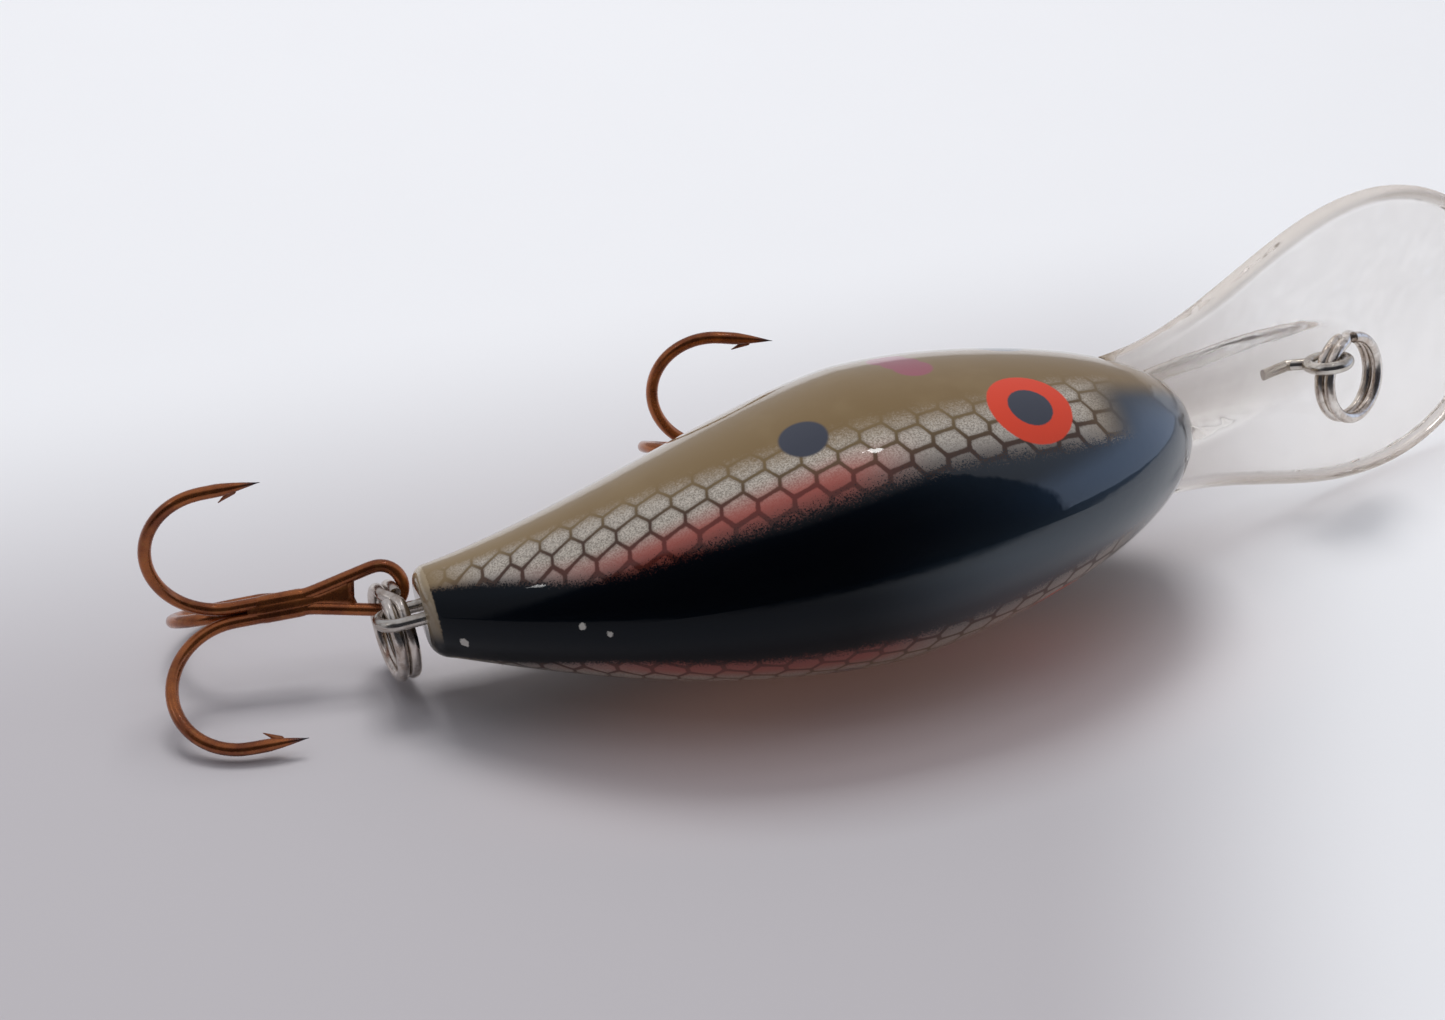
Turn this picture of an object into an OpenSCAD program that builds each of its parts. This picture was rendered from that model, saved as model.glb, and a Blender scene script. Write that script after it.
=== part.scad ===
// Diving crankbait: two moulded body halves around an internal ballast and rattles,
// a clear diving lip with a wire line tie, and two treble hooks on split rings.
// The origin is the centre of the line-tie eye and +Z points up from the table. The lure
// lies on its right side, rolled 15 degrees with its nose raised 4.9 degrees: its length
// runs along X with the nose at +X, the back looks to -Y and the left flank looks up.

/* [Body] */
// Length of the body from nose to tail end
body_len = 51; // [46:0.5:56]
// Height of the back above the line from nose to tail, at its fullest
back_h = 13.9; // [13:0.1:15]
// Depth of the belly below the line from nose to tail, at its fullest
belly_h = 8.2; // [7.6:0.1:9]
// Thickness across the two flanks at the fullest
body_thick = 18.4; // [17:0.1:20]
// Wall thickness of the moulded halves
wall = 1.3; // [1.1:0.05:1.5]

/* [Tail] */
// Half height of the tail end
tail_h = 3.1; // [2.9:0.1:3.6]
// Half thickness of the tail end
tail_half = 2.7; // [2.5:0.1:3.2]
// Radius that rounds the edge of the tail end
tail_round = 0.8; // [0.4:0.1:1]

/* [Lip] */
// Angle of the lip below the line from nose to tail
lip_angle = 17; // [14:1:19]
// Greatest width of the lip
lip_w = 20; // [18:0.2:22]
// Length of the lip from its root beside the nose
lip_len = 28; // [26:0.5:30]
// Thickness of the lip plate
lip_t = 1.3; // [1.2:0.1:1.6]
// Extra thickness of the rim on each face
rim_h = 0.25; // [0.1:0.05:0.4]
// Width of the rim
rim_w = 0.9; // [0.6:0.1:1.4]

/* [Wire fittings] */
// Diameter of the wire of the hangers and the line tie
wire_d = 0.8; // [0.7:0.05:0.85]
// Reach of each hanger loop beyond the body
hanger_reach = 3; // [2.8:0.1:3.2]
// Outside diameter of the split rings
ring_od = 6.3; // [6:0.1:6.8]
// Diameter of the split ring wire
ring_wire_d = 0.72; // [0.65:0.02:0.74]
// Distance of the belly hanger behind the nose
belly_hanger_s = 20.4; // [19:0.1:21]

/* [Treble hooks] */
// Diameter of the hook wire
hook_wire_d = 0.8; // [0.75:0.05:0.85]
// Gape from shank to point, centre to centre
gape = 8.9; // [8.4:0.1:9.2]
// Distance from the eye's centre to the centre of the bends
shank_len = 9; // [8.8:0.1:10]
// Length of the point leg, from the bend's centre to the tip
point_len = 3.4; // [3.2:0.1:4]
// Centreline radius of the hook eye
eye_r = 1.38; // [1.34:0.01:1.5]

/* [Rattles and ballast] */
// Diameter of each rattle ball
ball_d = 4; // [3.4:0.1:4.2]
// Diameter of the ballast slug
ballast_d = 6; // [5:0.1:6.2]
// Length of the ballast slug across the body
ballast_len = 8; // [7:0.1:8.4]

/* [Hidden] */

$fn = 48;
half_len = body_len / 2;

// Stations along the body and points round each half section
station_count = 36;
arc_count = 18;
// Fullest stations of the back, belly and flanks, as fractions of the length
back_peak = 0.5;
belly_peak = 0.36;
flank_peak = 0.45;

// Small gap between fitted pieces
gap = 0.03;
// The knuckle where two straight wires meet, and the wire of an eye, are this much fatter
knuckle = 1.04;
// Greatest height of any body section, used for cuts that run right through
through = 30;

wire_r = wire_d / 2;
hook_r = hook_wire_d / 2;
ring_wire_r = ring_wire_d / 2;
// The two coils of a split ring lie side by side and merge a little
coil_offset = ring_wire_r - 0.04;
ring_r = ring_od / 2 - ring_wire_r;
// Centreline radius of a hanger loop: the two coils turn freely inside it
ring_play = 0.14;
hanger_r = wire_r + ring_wire_r + coil_offset + ring_play;

// ---------- body form ----------

// Rise from a blunt end to the fullest station
function swell(u, p, q) = pow(1 - pow(1 - u, p), 1 / q);

function back(s) = s < back_peak
    ? back_h * swell(s / back_peak, 2, 2.1)
    : tail_h + (back_h - tail_h) * (1 - pow((s - back_peak) / (1 - back_peak), 2.3));

function belly(s) = s < belly_peak
    ? belly_h * swell(s / belly_peak, 1.3, 2.2)
    : tail_h + (belly_h - tail_h)
        * pow((1 + cos(180 * (s - belly_peak) / (1 - belly_peak))) / 2, 1.2);

function flank(s) = s < flank_peak
    ? body_thick / 2 * swell(s / flank_peak, 1.6, 2)
    : tail_half + (body_thick / 2 - tail_half)
        * pow(1 - pow((s - flank_peak) / (1 - flank_peak), 1.5), 1.2);

// Share by which a section drawn in by the wall shrinks, and by which its nose steps back
section_shrink = 1.15;
nose_shrink = 1.7;
// The nose ends in a tiny flat this far short of its tip
nose_flat = 0.02;
// Smallest half size of a section
least_half = 0.3;

// How far the tail end's rounded edge draws the section in at x
function edge_in(x) = let (d = -half_len + tail_round - x)
    d <= 0 ? 0 : tail_round - sqrt(max(0, tail_round * tail_round - d * d));

// Middle height and half height of the section at station s
function mid_y(s) = (belly(s) - back(s)) / 2;
function half_h(s) = (belly(s) + back(s)) / 2;

function section_point(x, inset, t) = let (
        s = (half_len - x) / body_len,
        shrink = section_shrink * inset + edge_in(x),
        h = max(least_half, half_h(s) - shrink),
        w = max(least_half, flank(s) - shrink)
    ) [x, mid_y(s) - h * cos(t), w * sin(t)];

// The left half of the body form, drawn in by inset, closed on the parting plane
module body_half(inset) {
    front = half_len - nose_shrink * inset - nose_flat;
    rear = -half_len + inset;
    ring_size = arc_count + 1;
    points = [
        for (i = [0:station_count])
            let (x = front + (rear - front) * (1 - cos(180 * i / station_count)) / 2)
            for (j = [0:arc_count]) section_point(x, inset, 180 * j / arc_count)
    ];
    skin = [
        for (i = [0:station_count - 1], j = [0:arc_count - 1])
            let (a = i * ring_size + j, b = a + ring_size)
            each [[a, b, a + 1], [a + 1, b, b + 1]]
    ];
    nose_cap = [for (j = [0:arc_count]) j];
    tail_cap = [for (j = [arc_count:-1:0]) station_count * ring_size + j];
    parting_face = concat(
        [for (i = [station_count:-1:0]) i * ring_size],
        [for (i = [0:station_count]) i * ring_size + arc_count]
    );
    polyhedron(points, concat(skin, [nose_cap, tail_cap, parting_face]), convexity = 4);
}

// ---------- places ----------

// Centre of the arc at each hanger loop's tip
tail_eye = [-half_len - hanger_reach + wire_r + hanger_r, 0];
belly_eye_x = half_len - belly_hanger_s;
belly_eye_y = belly(belly_hanger_s / body_len) + hanger_reach - wire_r - hanger_r;

// The line tie: its eye, and the point where its leg meets the middle of the lip
tie_eye_r = 1.35;
tie_angle = 35;
tie_leg = 1.65;
tie_tail = 2.2;
tie_foot_l = 6.2;
lip_root = [29.5, 2];
lip_dir = [cos(lip_angle), sin(lip_angle)];
tie_foot = lip_root + tie_foot_l * lip_dir;
line_tie = tie_foot + (tie_leg + tie_eye_r) * [cos(-tie_angle), sin(-tie_angle)];

// Rattle chambers run across the body; each ball rests on the right flank's side
front_ball = [9, -6];
rear_ball = [-8, -5];
chamber_half = 5;
ball_rest_z = -chamber_half + ball_d / 2 + gap;
ballast_at = [11, 1.3];

// The lure lies tilted on a table: it rolls about its length, then its nose rises
lie_roll = -15;
lie_pitch = -4.9;

function turn_x(v, a) = [v[0], v[1] * cos(a) - v[2] * sin(a), v[1] * sin(a) + v[2] * cos(a)];
function turn_y(v, a) = [v[0] * cos(a) + v[2] * sin(a), v[1], v[2] * cos(a) - v[0] * sin(a)];
function to_table(v) = turn_y(turn_x(v, lie_roll), lie_pitch);
function to_body(v) = turn_x(turn_y(v, -lie_pitch), -lie_roll);

// Drawn in the body's own axes about its centre, then moved and laid on the table
module place() {
    rotate([lie_roll, lie_pitch, 0]) translate([-line_tie[0], -line_tie[1], 0]) children();
}

// ---------- wire forms ----------

// A torus segment about Z that starts on the X axis
module bend(r, wire, angle) {
    rotate_extrude(angle = angle) translate([r, 0]) circle(r = wire);
}

// A closed loop of wire in the XY plane: its tip's arc is centred on the origin and
// its inner end wraps a post at x = depth
module hanger(depth) {
    rotate([0, 0, 90]) bend(hanger_r, wire_r, 180);
    translate([depth, 0, 0]) rotate([0, 0, -90]) bend(hanger_r, wire_r, 180);
    for (side = [-1, 1])
        translate([0, side * hanger_r, 0]) rotate([0, 90, 0]) cylinder(r = wire_r, h = depth);
}

// The channels that a hanger's wire lies in
module hanger_channels(depth) {
    w = wire_d + 2 * gap;
    for (side = [-1, 1])
        translate([0, side * hanger_r - w / 2, -w / 2]) cube([depth, w, w]);
    translate([depth, 0, 0])
        rotate_extrude() translate([hanger_r - w / 2, -w / 2]) square(w);
}

// Two-coil split ring about Z
module split_ring() {
    rotate_extrude() {
        for (side = [-1, 1])
            translate([ring_r, side * coil_offset]) circle(r = ring_wire_r);
    }
}

hanger_depth = 6.5;
module at_tail_hanger() {
    translate([tail_eye[0], tail_eye[1], 0]) children();
}
module at_belly_hanger() {
    translate([belly_eye_x, belly_eye_y, 0]) rotate([0, 0, -90]) children();
}

// ---------- treble hook: shank along +Z from the eye's centre, single hook towards +X ----------

shank_offset = 0.5 * hook_wire_d / 0.8;
neck_angle = 15;
pair_y = shank_offset * sin(120);
pair_x = shank_offset * cos(120);
neck_len = (eye_r * cos(neck_angle) - pair_y) / sin(neck_angle);
// How far each neck starts inside the eye's wire
neck_start = 0.1;
neck_z = eye_r * sin(neck_angle) + neck_len * cos(neck_angle);
bend_r = (gape - shank_offset) / 2;
// Length of the tapered tip, and the radius left at the end of a point or a barb
tip_len = 2.5;
point_r = 0.03;
// Barb: a slim spike on the inner side of the point leg, with its free end standing off it
barb_reach = 0.75;
barb_drop = 0.5;
barb_angle = 24;
barb_len = 1.3;
barb_r = 0.3;
// The single hook's shank starts this far past the necks
single_from_neck = 0.3;
// The brazing alloy's radius, and how far it stops short of the necks and of the bends
braze_r = 0.68;
braze_from_neck = 0.6;
braze_from_bend = 1.2;

// Shank from z0 down to the bend, round the bend and out to the barbed point
module hook_arm(z0) {
    translate([shank_offset, 0, z0]) cylinder(r = hook_r, h = shank_len - z0);
    translate([shank_offset + bend_r, 0, shank_len]) rotate([90, 0, 180]) bend(bend_r, hook_r, 180);
    translate([shank_offset + 2 * bend_r, 0, shank_len]) rotate([180, 0, 0]) {
        cylinder(r = hook_r, h = point_len - tip_len);
        translate([0, 0, point_len - tip_len]) cylinder(r1 = hook_r, r2 = point_r, h = tip_len);
        translate([-barb_reach, 0, barb_drop]) rotate([0, barb_angle, 0])
            cylinder(r1 = point_r, r2 = barb_r, h = barb_len);
    }
}

// One wire makes the eye and two of the hooks
module double_hook() {
    translate([pair_x, 0, 0]) {
        rotate([90, 0, 90]) rotate([0, 0, 180 - neck_angle])
            bend(eye_r, knuckle * hook_r, 180 + 2 * neck_angle);
        for (side = [-1, 1])
            translate([0, side * eye_r * cos(neck_angle), eye_r * sin(neck_angle)])
                rotate([side * neck_angle, 0, 0]) translate([0, 0, -neck_start])
                    cylinder(r = hook_r, h = neck_len + neck_start);
        for (side = [-1, 1])
            translate([0, side * pair_y, neck_z]) sphere(r = knuckle * hook_r);
    }
    for (turn = [120, 240]) rotate([0, 0, turn]) hook_arm(neck_z);
}

module single_hook() {
    hook_arm(neck_z + single_from_neck);
}

// Brazing alloy that fills the grooves between the three shanks
module braze() {
    start = neck_z + braze_from_neck;
    difference() {
        translate([0, 0, start]) cylinder(r = braze_r, h = shank_len - braze_from_bend - start);
        for (turn = [0, 120, 240])
            rotate([0, 0, turn]) translate([shank_offset, 0, 0])
                cylinder(r = hook_r + gap / 4, h = shank_len);
    }
}

// ---------- rest poses ----------

// Each treble lies on two of its hooks with the third one upright. yaw turns the shank
// from -X towards +Y and pitch tips its bends down, both measured over the table.
// slant leans the split ring down from the hanger's crossing, and tail_swing carries the
// tail ring past the hook eye's normal until it clears the tail end.
tail_yaw = 7.3;
tail_pitch = 5.1;
tail_slant = 35;
tail_swing = 13;
belly_yaw = 16.4;
belly_pitch = -6.1;
belly_slant = -28;
tie_ring_turn = 25;
tie_ring_slant = 38;
// Play between the middle of the split ring's section and the middle of the hook eye
eye_play = 0.1;

// The eye's normal, which lies along the ring's wire where they cross, in body axes
function eye_normal(yaw, pitch) = let (nx = 0.5 * sin(pitch), ny = sin(60))
    to_body([nx * cos(yaw) + ny * sin(yaw), ny * cos(yaw) - nx * sin(yaw), -0.5 * cos(pitch)]);
function shank_dir(yaw, pitch) = [-cos(yaw) * cos(pitch), sin(yaw) * cos(pitch), -sin(pitch)];

// Middle of the split ring's section where the hook eye crosses it: tilt is the angle
// round the ring from its top
function ring_crossing(eye, turn, slant, tilt) = let (
        out = ring_r * (cos(slant) + sin(tilt))
    ) [eye[0] + out * cos(turn), eye[1] + out * sin(turn), ring_r * (cos(tilt) - sin(slant))];

tail_normal = eye_normal(tail_yaw, tail_pitch);
tail_turn = atan2(tail_normal[1], tail_normal[0]) + tail_swing;
tail_cross = ring_crossing(tail_eye, tail_turn, tail_slant, asin(-tail_normal[2]));
belly_normal = eye_normal(belly_yaw, belly_pitch);
belly_turn = atan2(belly_normal[1], belly_normal[0]);
belly_cross = ring_crossing(
    [belly_eye_x, belly_eye_y], belly_turn, belly_slant, 180 + asin(-belly_normal[2]));

module hang_ring(at, turn, slant) {
    translate([at[0], at[1], 0]) rotate([0, slant, turn])
        translate([ring_r, 0, 0]) rotate([90, 0, 0]) split_ring();
}

module hang_treble(cross, yaw, pitch) {
    translate(to_table(cross - [line_tie[0], line_tie[1], 0]) + eye_play * shank_dir(yaw, pitch))
        rotate([0, -90 - pitch, -yaw]) rotate([0, 0, 120]) translate([-pair_x, 0, 0]) children();
}

module at_tail_treble() {
    hang_treble(tail_cross, tail_yaw, tail_pitch) children();
}
module at_belly_treble() {
    hang_treble(belly_cross, belly_yaw, belly_pitch) children();
}

// ---------- lip ----------

tang_len = 7;
tang_half = 3.6;
neck_half = 5.4;
lip_start = 8.2;
lip_peak = 14.5;
outline_steps = 24;

// Half width of the lip at distance l along it from the root point
function lip_half(l, inset) = l < lip_peak
    ? neck_half - inset + (lip_w / 2 - neck_half)
        * (1 - cos(180 * (l + lip_start) / (lip_peak + lip_start))) / 2
    : (lip_w / 2 - inset) * sqrt(max(0, 1 - pow((l - lip_peak) / (lip_len - inset - lip_peak), 2)));

module lip_outline(inset) {
    flare = [for (i = [0:outline_steps])
        let (l = -lip_start + inset + (lip_peak + lip_start - inset) * i / outline_steps)
        [l, lip_half(l, inset)]];
    round_end = [for (i = [1:outline_steps - 1])
        let (a = 90 * i / outline_steps)
        [lip_peak + (lip_len - inset - lip_peak) * sin(a), (lip_w / 2 - inset) * cos(a)]];
    side = concat(flare, round_end, [[lip_len - inset, 0]]);
    polygon(concat(side, [for (i = [len(side) - 2:-1:0]) [side[i][0], -side[i][1]]]));
}

// Places a drawing whose X runs along the lip and whose Z is across its thickness
module on_lip() {
    translate([lip_root[0], lip_root[1], 0]) rotate([0, 0, lip_angle]) rotate([90, 0, 0]) children();
}

// ---------- pieces ----------

// Locating pins of the right half: radius, length past the parting plane and length behind it
pin_r = 1;
pin_len = 2.2;
pin_root = 1.5;
// Spare depth at the bottom of each socket, and clearance round a rattle ball
socket_spare = 0.2;
ball_play = 0.15;
// Wall left round pins, chambers, the ballast and the wire and lip pockets
pin_wall = 0.9;
chamber_wall = 1.1;
ballast_wall = 1;
pocket_wall = 1.2;
// Bosses and sockets start this far across the parting plane
overrun = 1;
// Lip pocket cuts run this far forward of the tang's end
pocket_run = 20;
pin_places = [[1, -9.5], [-17, -4.6], [-11, 1.5], [17, -7]];

// Bosses that stand on the inside of one half and reach the parting plane
module bosses() {
    margin = hanger_r + pocket_wall;
    run = hanger_depth + margin;
    for (at = pin_places)
        translate([at[0], at[1], -overrun]) cylinder(r = pin_r + pin_wall, h = through);
    for (at = [front_ball, rear_ball])
        translate([at[0], at[1], -overrun]) cylinder(r = ball_d / 2 + chamber_wall, h = through);
    translate([ballast_at[0], ballast_at[1], -overrun])
        cylinder(r = ballast_d / 2 + ballast_wall, h = through);
    translate([tail_eye[0], tail_eye[1] - margin, -overrun]) cube([run, 2 * margin, through]);
    translate([belly_eye_x - margin, belly_eye_y - run, -overrun]) cube([2 * margin, run, through]);
    on_lip() translate([-lip_start - tang_len - overrun, -through, -lip_t / 2 - pocket_wall])
        cube([tang_len + pocket_run, 2 * through, lip_t + 2 * pocket_wall]);
}

// Hollows that are shared by both halves
module shared_hollows() {
    for (at = [front_ball, rear_ball])
        translate([at[0], at[1], -chamber_half])
            cylinder(r = ball_d / 2 + ball_play, h = 2 * chamber_half);
    translate([ballast_at[0], ballast_at[1], -ballast_len / 2 - gap])
        cylinder(d = ballast_d + 2 * gap, h = ballast_len + 2 * gap);
    at_tail_hanger() hanger_channels(hanger_depth);
    at_belly_hanger() hanger_channels(hanger_depth);
    on_lip() {
        translate([-lip_start - tang_len - gap, -tang_half - gap, -lip_t / 2 - gap])
            cube([tang_len + pocket_run, 2 * (tang_half + gap), lip_t + 2 * gap]);
        translate([-lip_start - gap, -through, -lip_t / 2 - rim_h - gap])
            cube([pocket_run, 2 * through, lip_t + 2 * (rim_h + gap)]);
    }
}

// One half before its own pins or sockets
module shell_blank() {
    difference() {
        body_half(0);
        difference() {
            body_half(wall);
            bosses();
        }
        shared_hollows();
    }
}

module left_body_shell() {
    color("darkolivegreen") place() difference() {
        shell_blank();
        for (at = pin_places) translate([at[0], at[1], -overrun])
            cylinder(r = pin_r + gap, h = overrun + pin_len + socket_spare);
    }
}

module right_body_shell() {
    color("darkslategray") place() {
        mirror([0, 0, 1]) shell_blank();
        for (at = pin_places)
            translate([at[0], at[1], -pin_root]) cylinder(r = pin_r, h = pin_root + pin_len);
    }
}

module diving_lip() {
    color("antiquewhite", 0.5) place() difference() {
        on_lip() union() {
            translate([0, 0, -lip_t / 2]) linear_extrude(lip_t) lip_outline(0);
            translate([0, 0, -lip_t / 2 - rim_h]) linear_extrude(lip_t + 2 * rim_h) difference() {
                lip_outline(0);
                lip_outline(rim_w);
            }
            translate([-lip_start - tang_len, -tang_half, -lip_t / 2])
                cube([tang_len + 1, 2 * tang_half, lip_t]);
        }
        line_tie_path(wire_r + gap);
    }
}

// The wire of the line tie below its eye: a leg into the lip and a tail inside the plate
module line_tie_path(r) {
    translate([tie_foot[0], tie_foot[1], 0]) {
        rotate([0, 0, -tie_angle]) rotate([0, 90, 0]) cylinder(r = r, h = tie_leg);
        sphere(r = knuckle * r);
        rotate([0, 0, lip_angle]) rotate([0, -90, 0]) cylinder(r = r, h = tie_tail);
    }
}

module line_tie_wire() {
    color("gainsboro") place() {
        line_tie_path(wire_r);
        translate([line_tie[0], line_tie[1], 0]) bend(tie_eye_r, knuckle * wire_r, 360);
    }
}

module line_tie_ring() {
    color("silver") place() hang_ring(line_tie, tie_ring_turn, tie_ring_slant);
}

module belly_hook_hanger() {
    color("gainsboro") place() at_belly_hanger() hanger(hanger_depth);
}
module belly_split_ring() {
    color("silver") place() hang_ring([belly_eye_x, belly_eye_y], belly_turn, belly_slant);
}
module belly_double_hook() {
    color("sienna") at_belly_treble() double_hook();
}
module belly_single_hook() {
    color("sienna") at_belly_treble() single_hook();
}
module belly_hook_braze() {
    color("goldenrod") at_belly_treble() braze();
}

module tail_hook_hanger() {
    color("gainsboro") place() at_tail_hanger() hanger(hanger_depth);
}
module tail_split_ring() {
    color("silver") place() hang_ring(tail_eye, tail_turn, tail_slant);
}
module tail_double_hook() {
    color("sienna") at_tail_treble() double_hook();
}
module tail_single_hook() {
    color("sienna") at_tail_treble() single_hook();
}
module tail_hook_braze() {
    color("goldenrod") at_tail_treble() braze();
}

module ballast_weight() {
    color("dimgray") place()
        translate([ballast_at[0], ballast_at[1], -ballast_len / 2])
            cylinder(d = ballast_d, h = ballast_len);
}
module front_rattle_ball() {
    color("lightsteelblue") place()
        translate([front_ball[0], front_ball[1], ball_rest_z]) sphere(d = ball_d);
}
module rear_rattle_ball() {
    color("lightsteelblue") place()
        translate([rear_ball[0], rear_ball[1], ball_rest_z]) sphere(d = ball_d);
}

left_body_shell();
right_body_shell();
diving_lip();
line_tie_wire();
line_tie_ring();
belly_hook_hanger();
belly_split_ring();
belly_double_hook();
belly_single_hook();
belly_hook_braze();
tail_hook_hanger();
tail_split_ring();
tail_double_hook();
tail_single_hook();
tail_hook_braze();
ballast_weight();
front_rattle_ball();
rear_rattle_ball();
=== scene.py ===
import math

import bmesh
import bpy
import numpy as np
from mathutils import Matrix, Vector


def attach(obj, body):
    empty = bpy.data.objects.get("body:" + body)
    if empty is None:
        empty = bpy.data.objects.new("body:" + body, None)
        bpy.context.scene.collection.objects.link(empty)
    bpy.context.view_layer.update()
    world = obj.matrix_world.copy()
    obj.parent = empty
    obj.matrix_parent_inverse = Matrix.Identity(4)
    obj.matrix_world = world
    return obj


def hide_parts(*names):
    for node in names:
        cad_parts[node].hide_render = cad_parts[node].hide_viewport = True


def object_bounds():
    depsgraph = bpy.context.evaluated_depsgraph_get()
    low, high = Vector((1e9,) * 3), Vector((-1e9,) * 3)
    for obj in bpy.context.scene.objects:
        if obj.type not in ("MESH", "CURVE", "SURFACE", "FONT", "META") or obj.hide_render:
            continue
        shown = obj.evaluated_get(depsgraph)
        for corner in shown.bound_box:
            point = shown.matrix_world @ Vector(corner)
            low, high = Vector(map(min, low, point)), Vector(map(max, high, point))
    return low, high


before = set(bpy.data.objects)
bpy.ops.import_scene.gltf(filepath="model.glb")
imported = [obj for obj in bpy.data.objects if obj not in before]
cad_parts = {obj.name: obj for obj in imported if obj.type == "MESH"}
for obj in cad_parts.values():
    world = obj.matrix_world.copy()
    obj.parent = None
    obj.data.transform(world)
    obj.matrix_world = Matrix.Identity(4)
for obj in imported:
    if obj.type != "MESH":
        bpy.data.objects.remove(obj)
cad_box = [list(corner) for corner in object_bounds()]

# A diving crankbait that lies on its right side on a pale table. Lengths are in millimetres in
# the body's own axes (+x nose, -y back, +y belly, +z left flank), and to_row() turns them into
# the frame's metres and axes. Only the stage is in metres.

# Body: its form, its wall, and how it lies on the table
HALF_LEN = 25.5
BODY_LEN = 2 * HALF_LEN
BACK_H, BELLY_H, BODY_THICK = 13.9, 8.2, 18.4
BACK_PEAK, BELLY_PEAK, FLANK_PEAK = 0.5, 0.36, 0.45
TAIL_H, TAIL_HALF, TAIL_ROUND = 3.1, 2.7, 0.8
WALL = 1.3
SECTION_SHRINK, NOSE_SHRINK, LEAST_HALF = 1.15, 1.7, 0.3
LIE_ROLL, LIE_PITCH = math.radians(-15), math.radians(-4.9)

# Lip: l runs along it from its root beside the nose, and w runs across it
LIP_ANGLE = math.radians(17)
LIP_W, LIP_LEN, LIP_T = 20, 28, 1.3
LIP_START, LIP_PEAK, NECK_HALF = 8.2, 14.5, 5.4
# The plate runs back into the nose as far as LIP_TUCK, and its round tip narrows to a short spine
LIP_TUCK, SPINE_LEN = 9.7, 3.0
# The rim comes up over RIM_RUN from the root. From the edge inwards it is rounded for EDGE_ROUND,
# full as far as RIM_FLAT, and slopes down over RIM_SLOPE to a web that is WEB_DIP lower.
RIM_RISE, RIM_RUN, EDGE_ROUND, RIM_FLAT, RIM_SLOPE, WEB_DIP = 0.15, 9.0, 0.45, 0.50, 0.60, 0.03
KEEL_END, KEEL_H, KEEL_HALF = 13.0, 3.6, 3.4
LIP_ROOT = np.array([29.5, 2.0, 0.0])
LIP_DIR = np.array([math.cos(LIP_ANGLE), math.sin(LIP_ANGLE), 0.0])
LIP_NORMAL = np.array([-LIP_DIR[1], LIP_DIR[0], 0.0])

# Line tie, hangers and split rings
WIRE_R, RING_WIRE_R, RING_R, COIL = 0.4, 0.36, 2.79, 0.32
TIE_ANGLE, TIE_LEG, TIE_EYE_R, TIE_FOOT_L = math.radians(35), 1.65, 1.35, 6.2
TIE_DIR = np.array([math.cos(TIE_ANGLE), -math.sin(TIE_ANGLE), 0.0])
LINE_TIE = LIP_ROOT + TIE_FOOT_L * LIP_DIR + (TIE_LEG + TIE_EYE_R) * TIE_DIR
HANGER_REACH, RING_PLAY, BELLY_HANGER_S = 3.0, 0.14, 20.4
HANGER_R = WIRE_R + RING_WIRE_R + COIL + RING_PLAY

# Treble hooks: the shanks run along +z from the eye's centre
HOOK_R, GAPE, SHANK_LEN, POINT_LEN, EYE_R = 0.4, 8.9, 9.0, 3.4, 1.38
SHANK_OFFSET = 0.5
BEND_R = (GAPE - SHANK_OFFSET) / 2
NECK_ANGLE = math.radians(15)
PAIR_X, PAIR_Y = -0.5 * SHANK_OFFSET, SHANK_OFFSET * math.sin(math.radians(120))
NECK_LEN = (EYE_R * math.cos(NECK_ANGLE) - PAIR_Y) / math.sin(NECK_ANGLE)
NECK_Z = EYE_R * math.sin(NECK_ANGLE) + NECK_LEN * math.cos(NECK_ANGLE)
# The double hook's two arms, as turns about the shank from the single hook
PAIR_SPINS = (math.radians(120), math.radians(240))


def turn(axis, angle):
    """3 by 3 rotation about axis by angle in radians."""
    return np.array(Matrix.Rotation(angle, 3, axis))


LIE = turn((0, 1, 0), LIE_PITCH) @ turn((1, 0, 0), LIE_ROLL)


def to_row(points):
    """Body axes in millimetres to the frame in metres, whose origin is the line tie's eye."""
    return (np.asarray(points, float) - LINE_TIE) @ LIE.T * 0.001


def clamp(value):
    return min(max(value, 0.0), 1.0)


# ---------- body form ----------

def swell(u, p, q):
    return (1 - (1 - u) ** p) ** (1 / q)


def back(s):
    u = np.clip(s / BACK_PEAK, 0, 1)
    v = np.clip((s - BACK_PEAK) / (1 - BACK_PEAK), 0, 1)
    return np.where(s < BACK_PEAK, BACK_H * swell(u, 2, 2.1),
                    TAIL_H + (BACK_H - TAIL_H) * (1 - v ** 2.3))


def belly(s):
    u = np.clip(s / BELLY_PEAK, 0, 1)
    v = np.clip((s - BELLY_PEAK) / (1 - BELLY_PEAK), 0, 1)
    return np.where(s < BELLY_PEAK, BELLY_H * swell(u, 1.3, 2.2),
                    TAIL_H + (BELLY_H - TAIL_H) * ((1 + np.cos(math.pi * v)) / 2) ** 1.2)


def flank(s):
    u = np.clip(s / FLANK_PEAK, 0, 1)
    v = np.clip((s - FLANK_PEAK) / (1 - FLANK_PEAK), 0, 1)
    return np.where(s < FLANK_PEAK, BODY_THICK / 2 * swell(u, 1.6, 2),
                    TAIL_HALF + (BODY_THICK / 2 - TAIL_HALF) * (1 - v ** 1.5) ** 1.2)


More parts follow.
